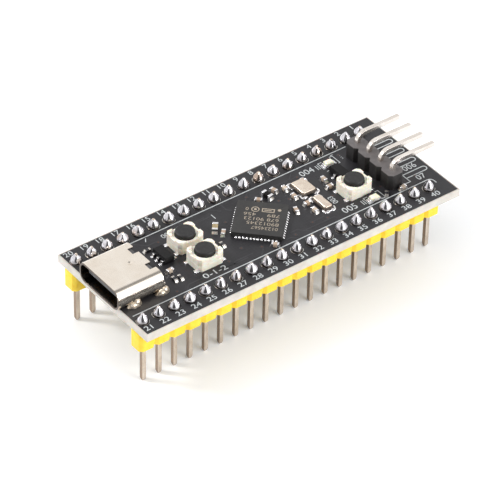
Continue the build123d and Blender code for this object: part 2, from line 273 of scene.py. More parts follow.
def painted_dark_sides(colour):
    """Extra layer: painted dark reflection on the two faces across X, where the pins mirror the darkened
    floor under the board.
    """
    def layer(tree, under, place):
        facing = tree.nodes.new("ShaderNodeTexCoord").outputs["Normal"]
        across = arithmetic(tree, "ABSOLUTE", axis_of(tree, facing, "X"), 0.0)
        return mixed(tree, ranged(tree, across, 0.75, 0.9, 0, 1), under, colour)
    return layer


def flux_stain(colour, grain, threshold):
    """Extra layer: soft stains some millimetres across, so only some joints are brown."""
    def layer(tree, under, place):
        patch = noise_on(tree, place, grain, 1.0)
        return mixed(tree, ranged(tree, patch, threshold, threshold + 0.12, 0, 0.7), under, colour)
    return layer


def hollow(colour, flat_y, flat_z, radius):
    """Extra layer: painted shade over the inside of a rounded tube along X, darkened as if it saw only its
    own dark walls.

    flat_y and flat_z are the half sizes inside the tube's rounded corners, and radius is the corners'.
    """
    def layer(tree, under, place):
        total = None
        for axis, centre, flat in (("Y", 0.0, flat_y), ("Z", USB_MIDDLE_Z, flat_z)):
            shift = arithmetic(tree, "SUBTRACT", axis_of(tree, place, axis), centre)
            off = arithmetic(tree, "ABSOLUTE", shift, 0.0)
            over = arithmetic(tree, "MAXIMUM", arithmetic(tree, "SUBTRACT", off, flat), 0.0)
            square = arithmetic(tree, "MULTIPLY", over, over)
            total = square if total is None else arithmetic(tree, "ADD", total, square)
        return mixed(tree, ranged(tree, total, radius ** 2 - 0.01, radius ** 2 + 0.01, 1, 0), under, colour)
    return layer


MATERIALS = {
    "laminate": finish_of("laminate", linear(198, 193, 186), linear(216, 211, 204), (0.4, 0.6), 1.4,
                          fine=0.07, depth=0.002, extra=strata(linear(180, 175, 164), 0.21, 0.35),
                          Subsurface_Weight=0.15, Subsurface_Scale=0.0006),
    "mask": finish_of("solder_mask", linear(33, 32, 35), linear(45, 44, 47), (0.34, 0.5), 2.2,
                      fine=0.16, depth=0.0016, extra=layers(weave(linear(46, 45, 49), 0.44, 0.3),
                                   specks(linear(150, 146, 144), 0.11, 0.745, 0.5)),
                      Specular_IOR_Level=0.4),
    "track": finish_of("masked_track", linear(38, 37, 41), linear(50, 49, 53), (0.3, 0.46), 1.2,
                       fine=0.12, depth=0.0015),
    "well": finish_of("plugged_via", linear(38, 22, 16), linear(96, 58, 42), (0.3, 0.5), 0.12,
                      fine=0.05, depth=0.004, extra=specks(linear(150, 104, 80), 0.08, 0.66, 0.5)),
    "silk": finish_of("board_printing", linear(184, 189, 190), linear(214, 218, 219), (0.5, 0.7), 0.5,
                      fine=0.05, depth=0.002, extra=specks(linear(120, 124, 126), 0.12, 0.66, 0.7)),
    "yellow": finish_of("yellow_plastic", linear(248, 209, 38), linear(255, 221, 60), (0.36, 0.52), 1.5,
                        (1, 1, 1.6), fine=0.06, depth=0.003, Subsurface_Weight=0.12,
                        Subsurface_Scale=0.0005, extra=specks(linear(238, 192, 34), 0.35, 0.62, 0.4)),
    # black plastic: painted shade darkens the block's sides below the top edge, so the tops read lighter.
    "black_plastic": finish_of("black_plastic", linear(92, 88, 88), linear(108, 103, 103), (0.36, 0.52),
                               0.9, fine=0.05, depth=0.004,
                               extra=layers(specks(linear(104, 98, 98), 0.1, 0.7, 0.5),
                                            painted_shade(linear(36, 34, 34), TOP + 2.38, TOP + 2.5))),
    # tinned pins: the two faces across X carry a painted dark reflection of the floor in shadow under the
    # board.
    "pins": finish_of("tinned_pin", linear(190, 175, 160), linear(222, 210, 197), (0.2, 0.34), 0.8,
                      (1, 1, 0.35), fine=0.09, depth=0.0015, streak=(3, 3, 0.12), Metallic=1.0,
                      extra=layers(specks(linear(150, 132, 112), 0.3, 0.64, 0.5),
                                   painted_dark_sides(linear(146, 127, 110)))),
    "debug_pins": finish_of("tinned_bent_pin", linear(222, 213, 204), linear(244, 238, 232), (0.14, 0.24),
                            1.2, (0.35, 1, 0.35), fine=0.2, depth=0.0006, Metallic=1.0,
                            extra=specks(linear(196, 182, 166), 0.5, 0.66, 0.4)),
    "solder": finish_of("bright_solder", linear(226, 224, 226), linear(250, 249, 251), (0.05, 0.2), 0.35,
                        fine=0.14, depth=0.003, Metallic=1.0,
                        extra=specks(linear(176, 160, 142), 0.28, 0.7, 0.4)),
    # wetted joint: painted shade darkens the foot of each joint, standing for the dark board it reflects.
    "joint": finish_of("wetted_joint", linear(198, 194, 198), linear(238, 237, 242), (0.05, 0.13), 0.5,
                       fine=0.2, depth=0.0016, Metallic=1.0,
                       extra=layers(specks(linear(168, 146, 124), 0.32, 0.69, 0.5),
                                    flux_stain(linear(176, 146, 116), 3.1, 0.62),
                                    painted_shade(linear(104, 97, 92), TOP + 0.12, TOP + 0.62))),
    "bead": finish_of("solder_bead", linear(238, 236, 238), linear(252, 251, 252), (0.1, 0.2), 0.35,
                      fine=0.3, depth=0.0008, Metallic=1.0,
                      extra=specks(linear(196, 184, 172), 0.3, 0.72, 0.3)),
    "resistor_ends": finish_of("dull_end_caps", linear(186, 180, 172), linear(216, 211, 204), (0.2, 0.36),
                               0.35, fine=0.14, depth=0.003, Metallic=1.0,
                               extra=specks(linear(150, 136, 120), 0.28, 0.66, 0.5)),
    "flux_solder": finish_of("fluxed_solder", linear(206, 184, 156), linear(246, 238, 224), (0.2, 0.42),
                             0.4, fine=0.1, depth=0.01, Metallic=0.85,
                             extra=specks(linear(120, 92, 58), 0.3, 0.6, 0.6)),
    "pad": finish_of("tinned_pad", linear(196, 192, 186), linear(228, 226, 222), (0.22, 0.42), 0.5,
                     fine=0.08, depth=0.003, Metallic=1.0,
                     extra=specks(linear(150, 140, 124), 0.2, 0.64, 0.4)),
    # stamped steel: painted shade darkens the inside of the shell's tube.
    "shell": finish_of("stamped_steel", linear(234, 223, 209), linear(243, 235, 224), (0.16, 0.26), 2.4,
                       fine=0.12, depth=0.0004, streak=(0.1, 2.4, 2.4), Metallic=1.0,
                       extra=layers(hollow(linear(128, 120, 114), flat_y=3.22, flat_z=0.35, radius=1.06),
                                    sheared_edge(linear(96, 86, 78), usb_low.x + 0.02))),
    "contact": finish_of("gilt_contact", linear(214, 170, 96), linear(240, 204, 138), (0.2, 0.34), 0.4,
                         fine=0.05, depth=0.001, streak=(0.1, 3, 3), Metallic=1.0),
    "tongue": finish_of("tongue_plastic", linear(70, 70, 72), linear(92, 92, 94), (0.4, 0.56), 0.7,
                        fine=0.06, depth=0.003),
    "housing": finish_of("cream_nylon", linear(248, 236, 216), linear(255, 250, 238), (0.38, 0.56), 0.7,
                         fine=0.06, depth=0.004, extra=specks(linear(222, 198, 168), 0.22, 0.67, 0.45),
                         Subsurface_Weight=0.2, Subsurface_Scale=0.0005),
    # button plastic: painted shade darkens the plunger's side below its top face.
    "button": finish_of("button_plastic", linear(27, 26, 27), linear(40, 39, 40), (0.46, 0.64), 0.5,
                        fine=0.05, depth=0.005,
                        extra=layers(specks(linear(76, 74, 74), 0.11, 0.68, 0.6),
                                     painted_shade(linear(6, 6, 6), button_top - 0.35, button_top - 0.06))),
    "spring": finish_of("spring_steel", linear(190, 186, 180), linear(220, 216, 210), (0.2, 0.34), 0.4,
                        fine=0.05, depth=0.001, Metallic=1.0),
    "mcu": finish_of("matte_moulding", linear(40, 39, 39), linear(52, 51, 50), (0.5, 0.68), 1.6,
                     fine=0.045, depth=0.004, extra=specks(linear(76, 74, 72), 0.07, 0.68, 0.6)),
    "marking": finish_of("laser_marking", linear(150, 138, 122), linear(190, 177, 160), (0.6, 0.8), 0.2,
                         fine=0.04, depth=0.002, extra=specks(linear(84, 79, 74), 0.06, 0.62, 0.8)),
    "small_ic": finish_of("small_moulding", linear(16, 15, 16), linear(26, 25, 26), (0.44, 0.62), 0.6,
                          fine=0.04, depth=0.004, extra=specks(linear(62, 60, 60), 0.06, 0.68, 0.6),
                          Specular_IOR_Level=0.25),
    "ceramic": finish_of("crystal_ceramic", linear(62, 54, 48), linear(86, 76, 68), (0.4, 0.56), 0.4,
                         fine=0.05, depth=0.003, extra=specks(linear(116, 104, 92), 0.1, 0.66, 0.5)),
    "lid": finish_of("plated_lid", linear(220, 202, 186), linear(240, 228, 212), (0.24, 0.36), 0.7,
                     fine=0.07, depth=0.0014, Metallic=1.0, streak=(2.4, 0.15, 2.4),
                     extra=specks(linear(204, 184, 160), 0.3, 0.68, 0.4)),
    "led_base": finish_of("led_substrate", linear(226, 224, 214), linear(244, 243, 236), (0.4, 0.56), 0.4,
                          fine=0.05, depth=0.003, extra=specks(linear(200, 196, 176), 0.12, 0.66, 0.5)),
    "lens": finish_of("led_lens", linear(240, 234, 208), linear(250, 246, 230), (0.14, 0.28), 0.3,
                      fine=0.08, depth=0.002, Subsurface_Weight=0.35, Subsurface_Scale=0.0004,
                      extra=specks(linear(234, 222, 170), 0.16, 0.62, 0.4)),
    "capacitor": finish_of("capacitor_ceramic", linear(140, 104, 76), linear(222, 208, 190), (0.34, 0.5),
                           3.1, fine=0.05, depth=0.004, extra=specks(linear(110, 82, 62), 0.1, 0.64, 0.6)),
    "pale_capacitor": finish_of("pale_capacitor_ceramic", linear(146, 128, 92), linear(176, 158, 122),
                                (0.34, 0.5), 0.3, fine=0.05, depth=0.004,
                                extra=specks(linear(116, 100, 72), 0.1, 0.62, 0.6)),
    "resistor": finish_of("resistor_film", linear(34, 34, 38), linear(52, 52, 56), (0.3, 0.5), 0.3,
                          fine=0.05, depth=0.003, extra=specks(linear(90, 90, 94), 0.08, 0.68, 0.5)),
    "ferrite": finish_of("ferrite_body", linear(12, 10, 10), linear(26, 22, 20), (0.5, 0.7), 0.3,
                         fine=0.05, depth=0.006, extra=specks(linear(60, 46, 38), 0.09, 0.66, 0.5),
                         Specular_IOR_Level=0.2),
}


# ---------------------------------------------------------------- mesh tools

def add_piece(name, mesh, material, body="board", slot=None, replaces=(), smooth=None):
    """Put a mesh (in metres, in the frame) in the scene, riding on a body."""
    obj = bpy.data.objects.new(name, mesh)
    bpy.context.scene.collection.objects.link(obj)
    mesh.materials.clear()
    mesh.materials.append(MATERIALS[material])
    if smooth is not None:
        mesh.shade_smooth()
        mesh.set_sharp_from_angle(angle=math.radians(smooth))
    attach(obj, body)
    if replaces:
        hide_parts(*replaces)
    return obj


def even_shading(obj):
    """Large flat faces keep their own normal; only the rounded edges turn it."""
    modifier = obj.modifiers.new("even_shading", "WEIGHTED_NORMAL")
    modifier.keep_sharp = True
    modifier.weight = 100
    return obj


def mesh_of(bm, name):
    bmesh.ops.recalc_face_normals(bm, faces=bm.faces)
    mesh = bpy.data.meshes.new(name)
    bm.to_mesh(mesh)
    bm.free()
    return mesh


def refine(node, material, width, body="board", slot=None, segments=2, corner=35.0):
    """A finished copy of a CAD node with edges rounded by width mm, which stands for the node.

    corner: edges that turn by less than this many degrees, or are very short, stay as they are.
    """
    bm = bmesh.new()
    bm.from_mesh(NODES[node].data)
    bmesh.ops.remove_doubles(bm, verts=bm.verts, dist=0.0008 * MM)
    bmesh.ops.dissolve_limit(bm, angle_limit=math.radians(1.0), verts=bm.verts, edges=bm.edges)
    sharp = [e for e in bm.edges if len(e.link_faces) == 2 and e.calc_face_angle(0.0) > math.radians(corner)
             and e.calc_length() > 2.2 * width * MM]
    bmesh.ops.bevel(bm, geom=sharp, offset=width * MM, segments=segments, profile=0.5, affect="EDGES",
                    clamp_overlap=False)
    look = add_piece(node + "_look", mesh_of(bm, node), material, body, slot, [node], smooth=60)
    return even_shading(look)


class Sheet:
    """Flat closed shapes printed or laid at one height: strokes, polygons and numerals."""

    def __init__(self, low, thickness):
        self.bm = bmesh.new()
        self.low, self.high = low, low + thickness

    def prism(self, outline, holes=()):
        """Closed slab over an outline with holes, each a list of (x, y)."""
        curve = bpy.data.curves.new("outline", "CURVE")
        curve.dimensions = "2D"
        curve.fill_mode = "BOTH"
        curve.extrude = (self.high - self.low) / 2 * MM
        for loop in (outline, *holes):
            spline = curve.splines.new("POLY")
            spline.points.add(len(loop) - 1)
            for point, (x, y) in zip(spline.points, loop):
                point.co = (x * MM, y * MM, 0, 1)
            spline.use_cyclic_u = True
        self.take(curve, Matrix.Translation((0, 0, (self.low + self.high) / 2 * MM)))

    def take(self, curve, matrix):
        """Add a curve's or text's filled shape."""
        holder = bpy.data.objects.new("holder", curve)
        bpy.context.scene.collection.objects.link(holder)
        bpy.context.view_layer.update()
        mesh = bpy.data.meshes.new_from_object(holder)
        mesh.transform(matrix)
        self.bm.from_mesh(mesh)
        bpy.data.objects.remove(holder)
        bpy.data.meshes.remove(mesh)
        bpy.data.curves.remove(curve)

    def stroke(self, points, width, closed=False):
        """Ribbon of one width along (x, y) points with mitred corners."""
        pts = [Vector(p) for p in points]
        count = len(pts)
        rings = []
        for i, p in enumerate(pts):
            before = pts[i - 1] if closed or i else None
            after = pts[(i + 1) % count] if closed or i < count - 1 else None
            din = (p - before).normalized() if before is not None else (after - p).normalized()
            dout = (after - p).normalized() if after is not None else din
            tangent = (din + dout).normalized()
            side = Vector((-tangent.y, tangent.x)) * (width / 2 / max(0.4, tangent.dot(din)))
            rings.append([self.bm.verts.new(Vector((*(p + side * s), z)) * MM)
                          for s, z in ((-1, self.low), (1, self.low), (1, self.high), (-1, self.high))])
        pairs = list(zip(rings, rings[1:])) + ([(rings[-1], rings[0])] if closed else [])
        for a, b in pairs:
            for k in range(4):
                self.bm.faces.new((a[k], a[(k + 1) % 4], b[(k + 1) % 4], b[k]))
        if not closed:
            self.bm.faces.new(rings[0])
            self.bm.faces.new(rings[-1])

    def number(self, text, x, y, height, turn=0.0, bold=0.0, mirrored=False, width=1.0):
        """Numerals centred on (x, y), `height` tall."""
        curve = bpy.data.curves.new("numerals", "FONT")
        curve.body = text
        curve.align_x, curve.align_y = "CENTER", "CENTER"
        curve.size = height / 0.7 * MM
        curve.offset = bold * MM
        curve.extrude = (self.high - self.low) / 2 * MM
        curve.resolution_u = 3
        flip = Matrix.Diagonal((-width if mirrored else width, 1, 1, 1))
        lift = Matrix.Translation(Vector((x, y, (self.low + self.high) / 2)) * MM)
        self.take(curve, lift @ Matrix.Rotation(math.radians(turn), 4, "Z") @ flip)

    def build(self, name, material, **kw):
        return add_piece(name, mesh_of(self.bm, name), material, **kw)


def circle(x, y, radius, count=24, start=0.0, sweep=360.0):
    step = sweep / count
    return [(x + radius * math.cos(math.radians(start + step * i)),
             y + radius * math.sin(math.radians(start + step * i)))
            for i in range(count if sweep == 360 else count + 1)]


def rectangle(x0, x1, y0, y1):
    return [(x0, y0), (x1, y0), (x1, y1), (x0, y1)]


def lofted(bm, rings, cap=True):
    """Skin over rings of equal length; each ring is a list of points in mm."""
    made = [[bm.verts.new(Vector(p) * MM) for p in ring] for ring in rings]
    n = len(made[0])
    for a, b in zip(made, made[1:]):
        for k in range(n):
            bm.faces.new((a[k], a[(k + 1) % n], b[(k + 1) % n], b[k]))
    if cap:
        bm.faces.new(made[0])
        bm.faces.new(made[-1])


# ---------------------------------------------------------------- camera, floor and lights

CAMERA_PLACE = (-214.380, -274.236, 288.010)
CAMERA_TURN = (50.93186, -1.05654, -37.06014)
LENS, SENSOR = 237.0986, 36.0
LIGHT_TARGET = (0, 0, 8)      # middle of the board

camera_data = bpy.data.cameras.new("camera")
camera_data.sensor_width = SENSOR
camera_data.lens = LENS
camera_data.clip_start, camera_data.clip_end = 0.01, 20.0
camera = bpy.data.objects.new("camera", camera_data)
camera.location = Vector(CAMERA_PLACE) * MM
camera.rotation_euler = [math.radians(a) for a in CAMERA_TURN]
bpy.context.scene.collection.objects.link(camera)
bpy.context.scene.camera = camera
bpy.context.scene.view_settings.view_transform = "Standard"


def area_light(name, place, size, power, colour=(1, 1, 1)):
    """Rectangular softbox at a place, facing the board; sizes in millimetres, power in watts."""
    data = bpy.data.lights.new(name, "AREA")
    data.shape = "RECTANGLE"
    data.size, data.size_y = (s * MM for s in size)
    data.energy = power
    data.color = colour
    light = bpy.data.objects.new(name, data)
    light.location = Vector(place) * MM
    light.rotation_euler = (Vector(LIGHT_TARGET) - Vector(place)).to_track_quat("-Z", "Y").to_euler()
    bpy.context.scene.collection.objects.link(light)


area_light("key_softbox", (-260, 240, 300), (90, 90), 0.95)
area_light("near_softbox", (120, -380, 130), (220, 140), 0.62, (1.0, 0.998, 0.995))


WORLD_STRENGTH = 0.98
WORLD_TINT = (1.0, 0.999, 0.998, 1.0)
WORLD_LOBES = (      # direction, cosines of the lobe's rim and core, change of brightness in the core
    ((-0.544, -0.706, 0.454), 0.8, 0.93, -0.9),      # dark gap where the camera stands
    ((0.33, 0.02, 0.94), 0.91, 0.97, -0.7),          # dark patch overhead
    ((0.44, -0.74, 0.5), 0.8, 0.93, 0.9),            # bright panel on the near side
)


def studio_world():
    """White surround, darker or brighter in a few round lobes."""
    made = bpy.data.worlds.new("studio")
    made.use_nodes = True
    tree = made.node_tree
    where = tree.nodes.new("ShaderNodeTexCoord").outputs["Generated"]
    level = 1.0
    for direction, rim, core, change in WORLD_LOBES:
        dot = tree.nodes.new("ShaderNodeVectorMath")
        dot.operation = "DOT_PRODUCT"
        dot.inputs[1].default_value = direction
        link(tree, where, dot.inputs[0])
        lobe = ranged(tree, dot.outputs["Value"], rim, core, 0, change)
        level = arithmetic(tree, "ADD", lobe, level)
    background = tree.nodes["Background"]
    background.inputs["Color"].default_value = WORLD_TINT
    link(tree, arithmetic(tree, "MULTIPLY", level, WORLD_STRENGTH), background.inputs["Strength"])
    return made


bpy.context.scene.world = studio_world()

FLOOR_HALF = 2.5      # metres
floor_material = finish_of("studio_floor", linear(246, 246, 247), linear(250, 250, 251), (0.35, 0.45), 60.0,
                           fine=2.0, depth=0.002, Emission_Color=linear(238, 247, 255),
                           Emission_Strength=0.15)
floor_mesh = bpy.data.meshes.new("floor")
floor_bm = bmesh.new()
bmesh.ops.create_grid(floor_bm, x_segments=8, y_segments=8, size=FLOOR_HALF)
floor_bm.to_mesh(floor_mesh)
floor_bm.free()
floor_mesh.materials.append(floor_material)
floor = bpy.data.objects.new("floor", floor_mesh)
bpy.context.scene.collection.objects.link(floor)


# ---------------------------------------------------------------- circuit board

PAD_THICK = MASK_THICK * 0.7
RING_GAP = 0.01               # between a pad's ring and the mask
PIN_HOLE_RADIUS = 0.49
LEG_PAD_HALF = (1.1, 0.62)    # half sizes of the oval pads of the USB shell's legs
LEG_FROM_SIDE = 0.15          # how far a leg's middle lies inside the shell's side
LEG_FROM_END = 0.85
TRACK_WIDTH = 0.2
SINK = 0.004                  # how far a raised layer starts inside the one below
VIA_RADIUS, WELL_RADIUS = 0.3, 0.14
VIA_RISE, WELL_RISE = 0.012, 0.015
SHORT_STEP = 0.05             # a track drops points closer than this

rng = random.Random(7)
row_spots = [(x, y) for y in row_y.values() for x in pin_xs]
debug_spots = [(DEBUG_X, y) for y in debug_ys]
leg_low, leg_high = box_mm("usb_leg_solder")
leg_spots = [(x, s * (usb_high.y - LEG_FROM_SIDE))
             for x in (leg_low.x + LEG_FROM_END, leg_high.x - LEG_FROM_END) for s in (-1, 1)]

mask_outline = rectangle(board_low.x + MASK_INSET, board_high.x - MASK_INSET,
                         board_low.y + MASK_INSET, board_high.y - MASK_INSET)
via_spots = [(-3.0, 2.7), (-4.6, -3.0), (7.1, 1.7), (11.0, 4.9), (3.1, -5.0), (5.7, 2.2), (-6.9, 4.6),
             (-7.6, -4.3), (8.9, -4.6), (12.4, -1.2), (19.1, 1.4), (19.0, -3.4), (-12.9, 4.5), (2.6, 5.4),
             (6.6, -4.2), (-2.2, -4.4), (18.7, 5.5), (23.9, 5.6), (24.4, -4.3), (-16.9, -5.3)]
holes = [circle(x, y, PAD_RADIUS) for x, y in row_spots + debug_spots]
holes += [[(lx + dx * LEG_PAD_HALF[0], ly + dy * LEG_PAD_HALF[1]) for dx, dy in circle(0, 0, 1.0)]
          for lx, ly in leg_spots]

for side_name, low in (("top", TOP), ("bottom", BOTTOM - MASK_THICK)):
    mask = Sheet(low, MASK_THICK)
    mask.prism(mask_outline, holes)
    mask.build("solder_mask_" + side_name, "mask", slot="board_laminate")
    pads = Sheet(TOP if side_name == "top" else BOTTOM - PAD_THICK, PAD_THICK)
    for x, y in row_spots + debug_spots:
        pads.prism(circle(x, y, PAD_RADIUS - RING_GAP), [circle(x, y, PIN_HOLE_RADIUS)])
    pads.build("pad_rings_" + side_name, "pad", slot="solder_tin")

NODES["pcb_board"].data.materials.clear()
NODES["pcb_board"].data.materials.append(MATERIALS["laminate"])


def jogged(x0, y0, x1, y1):
    """Track from a pad towards the middle with one 45 degree jog."""
    dx, dy = x1 - x0, y1 - y0
    run = min(abs(dx), abs(dy))
    corner = y1 - math.copysign(run, dy)
    return [(x0, y0), (x0, corner), (x0 + math.copysign(run, dx), y1), (x1, y1)]


for side_name, low in (("top", MASK_TOP - SINK), ("bottom", BOTTOM - MASK_THICK - TRACK_RISE + SINK)):
    tracks = Sheet(low, TRACK_RISE)
    for y in row_y.values():
        inward = -1 if y > 0 else 1
        for i, x in enumerate(pin_xs):
            under_part = x < usb_high.x + 1 or abs(x - DEBUG_X) < 3
            if side_name == "top" and (i % 3 == 1 or under_part):
                continue
            end_x = x * (0.45 if side_name == "top" else 0.7) + rng.uniform(-0.4, 0.4)
            end_y = y + inward * rng.uniform(2.4, 3.6 if side_name == "top" else 6.0)
            path = jogged(x, y + inward * PAD_RADIUS * 0.98, end_x, end_y)
            steps = [p for k, p in enumerate(path) if k == 0 or math.dist(p, path[k - 1]) > SHORT_STEP]
            tracks.stroke(steps, TRACK_WIDTH)
    tracks.build("copper_tracks_" + side_name, "track", slot="board_laminate")

vias = Sheet(MASK_TOP - SINK, SINK + VIA_RISE)
via_wells = Sheet(MASK_TOP - SINK, SINK + WELL_RISE)
for x, y in via_spots:
    vias.prism(circle(x, y, VIA_RADIUS, 18), [circle(x, y, WELL_RADIUS, 12)])
    via_wells.prism(circle(x, y, WELL_RADIUS, 12))
vias.build("via_rings", "track", slot="board_laminate")
via_wells.build("via_wells", "well", slot="board_laminate")


# ---------------------------------------------------------------- printing

LINE = 0.15
FINE_LINE = 0.11
THIN = -0.012           # strokes of the small numerals are drawn this much thinner
SILK_SINK = 0.002
BACK_RAIL_Y, FRONT_RAIL_Y = 6.45, -6.05         # long lines beside the pin rows
BACK_NUMBER_Y, FRONT_NUMBER_Y = 9.4, -9.14      # pin numbers
PIN_NUMBER, UNDER_NUMBER = 0.9, 0.86            # heights of the pin numbers above and below
LABELS = (      # text, x, y, height, turn, width
    ("0-1-2", -10.4, -5.0, 0.95, 0, 1.35),
    ("001", -11.0, 5.1, 0.85, 0, 1.0),
    ("003", 11.9, -1.95, 0.82, 90, 1.0),
    ("004", 12.75, 5.0, 1.1, 0, 1.0),
    ("005", 12.6, -4.8, 1.15, 0, 1.0),
    ("006", 25.0, -2.35, 1.05, 0, 1.0),
    ("07", 24.95, -4.95, 1.05, 0, 1.0),
)
SMALL_LABELS = (("1", 18.75, 5.42), ("2", 18.75, 4.72))

silk = Sheet(MASK_TOP - SILK_SINK, SILK_THICK)
silk.stroke([(-16.2, BACK_RAIL_Y), (20.7, BACK_RAIL_Y)], LINE)
silk.stroke([(-24.6, FRONT_RAIL_Y), (25.2, FRONT_RAIL_Y)] + circle(25.2, -6.7, 0.65, 5, 90, -90)[1:]
            + [(25.86, -7.2)], LINE)
for i, x in enumerate(pin_xs):
    silk.number(str(PINS - i), x, BACK_NUMBER_Y, PIN_NUMBER, width=1.1)
    silk.number(str(PINS + 1 + i), x, FRONT_NUMBER_Y, PIN_NUMBER, width=1.15)
for text, x, y, height, turn, width in LABELS:
    silk.number(text, x, y, height, turn, width=width)
for text, x, y in SMALL_LABELS:
    silk.number(text, x, y, 0.5, bold=THIN)


LED_BARS = [[(x, 4.42), (x, 5.4)] for x in (14.45, 14.78)]
LED_BRACKETS = [[(15.85, 4.16), (15.1, 4.16), (15.1, 5.57), (15.75, 5.57)],
                [(17.12, 4.07), (17.85, 4.07), (17.85, 5.85), (17.3, 5.85)]]


def led_outline(dx, dy):
    """Two bars, an opening bracket and a closing bracket round a light-emitting diode."""
    for points in LED_BARS + LED_BRACKETS:
        silk.stroke([(x + dx, y + dy) for x, y in points], FINE_LINE)


led_outline(0, 0)              # the user light
led_outline(0.28, -9.76)       # the power light, beside the front row

LOOSE_LINES = (((17.63, 6.02), (18.1, 6.08)), ((15.09, 3.45), (15.6, 3.54), (15.6, 3.1)),
               ((8.89, 4.22), (8.75, 2.95)), ((10.5, 0.82), (11.46, 0.76)),
               ((-13.81, 6.16), (-14.24, 5.51)), ((-3.6, 5.1), (-3.6, 4.1)),
               ((-14.95, 0.35), (-13.1, 0.35)))
for points in LOOSE_LINES:
    silk.stroke(points, FINE_LINE)

LOOP_START_X, LOOP_END_X, LOOP_HALF = 23.05, 26.5, 0.43      # long loops beside the debug header's pins
LOOP_YS = (3.85, 1.3, -1.2, -3.7)
for y in LOOP_YS:
    loop = [(LOOP_START_X, y - LOOP_HALF), (LOOP_END_X, y - LOOP_HALF)]
    loop += circle(LOOP_END_X, y, LOOP_HALF, 6, -90, 180)[1:-1]
    loop += [(LOOP_END_X, y + LOOP_HALF), (LOOP_START_X, y + LOOP_HALF)]
    silk.stroke(loop, LINE)
silk.stroke([(LOOP_START_X, -3.27), (LOOP_START_X, -5.0), (21.8, -5.0)], LINE)
silk.build("printing_top", "silk", slot="board_laminate")

UNDER_RAIL_Y, UNDER_RAIL_XS = 5.6, (-24.0, 25.6)
UNDER_FRAMES = ((-15.0, -6.0), (2.0, 12.0))      # ends along X of two plain frames
UNDER_FRAME_HALF = 2.6

under = Sheet(BOTTOM - MASK_THICK - SILK_THICK + SILK_SINK, SILK_THICK)
for i, x in enumerate(pin_xs):
    under.number(str(PINS - i), x, BACK_NUMBER_Y, UNDER_NUMBER, mirrored=True)
    under.number(str(PINS + 1 + i), x, FRONT_NUMBER_Y, UNDER_NUMBER, mirrored=True)
for y in (UNDER_RAIL_Y, -UNDER_RAIL_Y):
    under.stroke([(x, y) for x in UNDER_RAIL_XS], LINE)
for i, y in enumerate(debug_ys):
    under.number(str(i + 1), DEBUG_X + 2.2, y, PIN_NUMBER, mirrored=True)
for x0, x1 in UNDER_FRAMES:
    under.stroke(rectangle(x0, x1, -UNDER_FRAME_HALF, UNDER_FRAME_HALF), LINE, closed=True)
under.build("printing_bottom", "silk", slot="board_laminate")


# ---------------------------------------------------------------- solder joints of the pins

# Radius and height of a joint from the board up.
JOINT_PROFILE = [(0.86, -0.03), (0.885, 0.06), (0.895, 0.18), (0.88, 0.32), (0.835, 0.48), (0.755, 0.64),
                 (0.64, 0.8), (0.505, 0.95), (0.375, 1.08), (0.265, 1.2), (0.19, 1.3), (0.155, 1.36)]
JOINT_SIDES = 40
JOINT_SINK = 0.02
JOINT_SPREAD = 0.03            # how far a joint may reach past its pad
PIN_CLEAR = 0.012              # solder left over the pin's faces
ROW_REACH, DEBUG_REACH = (0.93, 1.03), (0.75, 0.82)      # how much the heights vary
JOINT_LEAN = 0.07              # sideways shift of a mound's middle, at most
JOINT_BULGE = (0.94, 1.06)     # change of its foot's radius
JOINT_BELLY = (-0.7, 0.1)      # how hollow or full its flank is
JOINT_WOBBLE = 0.06            # unevenness round it
SEED_RANGE = 50
PIN_HEAD = (0.62, 0.24)        # length and end width of a pin's tapered top
pin_top = pin_high.z - TOP


def joint_rings(x, y, base, reach, up, random_source):
    """Rings of one solder mound that climbs a square pin, a little uneven; reach stretches its height."""
    lean = Vector([random_source.uniform(-JOINT_LEAN, JOINT_LEAN) for _ in range(2)])
    seed = Vector((*(random_source.uniform(-SEED_RANGE, SEED_RANGE) for _ in range(2)), 0))
    bulge = random_source.uniform(*JOINT_BULGE)
    belly = random_source.uniform(*JOINT_BELLY)
    rings = []
    for radius, height in JOINT_PROFILE:
        z = height * reach
        head = min(1.0, max(0.0, (z - (pin_top - PIN_HEAD[0])) / PIN_HEAD[0])) if up > 0 else 0.0
        pin_half = (PIN_SIDE * (1 - head) + PIN_HEAD[1] * head) / 2 + PIN_CLEAR
        share = max(0.0, z) / JOINT_PROFILE[-1][1]
        ring = []
        for k in range(JOINT_SIDES):
            a = 2 * math.pi * k / JOINT_SIDES
            ca, sa = math.cos(a), math.sin(a)
            wobble = 1 + JOINT_WOBBLE * noise.noise(seed + Vector((ca * 1.2, sa * 1.2, share * 1.5)))
            r = radius * (bulge * (1 - share) + share) * wobble * (1 + belly * share * (1 - share))
            r = min(r, PAD_RADIUS + JOINT_SPREAD)
            over_pin = pin_half / max(abs(ca), abs(sa))
            fade = share * (1 - share)
            px, py = x + r * ca + lean.x * fade, y + r * sa + lean.y * fade
            if max(abs(px - x), abs(py - y)) < pin_half:
                px, py = x + over_pin * ca, y + over_pin * sa
            ring.append((px, py, base + up * z))
        rings.append(ring)
    return rings


for row, y in row_y.items():
    bm = bmesh.new()
    for x in pin_xs:
        lofted(bm, joint_rings(x, y, MASK_TOP - JOINT_SINK, rng.uniform(*ROW_REACH), 1, rng))
    add_piece(row + "_joints", mesh_of(bm, row + "_joints"), "joint", slot="solder_tin",
              replaces=[row + "_header_solder"], smooth=50)
bm = bmesh.new()
for y in debug_ys:
    base = BOTTOM - MASK_THICK + JOINT_SINK
    lofted(bm, joint_rings(DEBUG_X, y, base, rng.uniform(*DEBUG_REACH), -1, rng))
add_piece("debug_joints", mesh_of(bm, "debug_joints"), "solder", slot="solder_tin",
          replaces=["debug_header_solder"], smooth=50)


# ---------------------------------------------------------------- pin rows and debug header

def strip_outline(count, width, corner):
    """Outline of cells side by side with V notches between them, along X, from 0."""
    half, upper = width / 2, []
    for i in range(count):
        left, right = i * PITCH, (i + 1) * PITCH
        upper += [(left, half - corner), (left + corner, half), (right - corner, half)]
    upper.append((count * PITCH, half - corner))
    return upper + [(x, -y) for x, y in reversed(upper)]


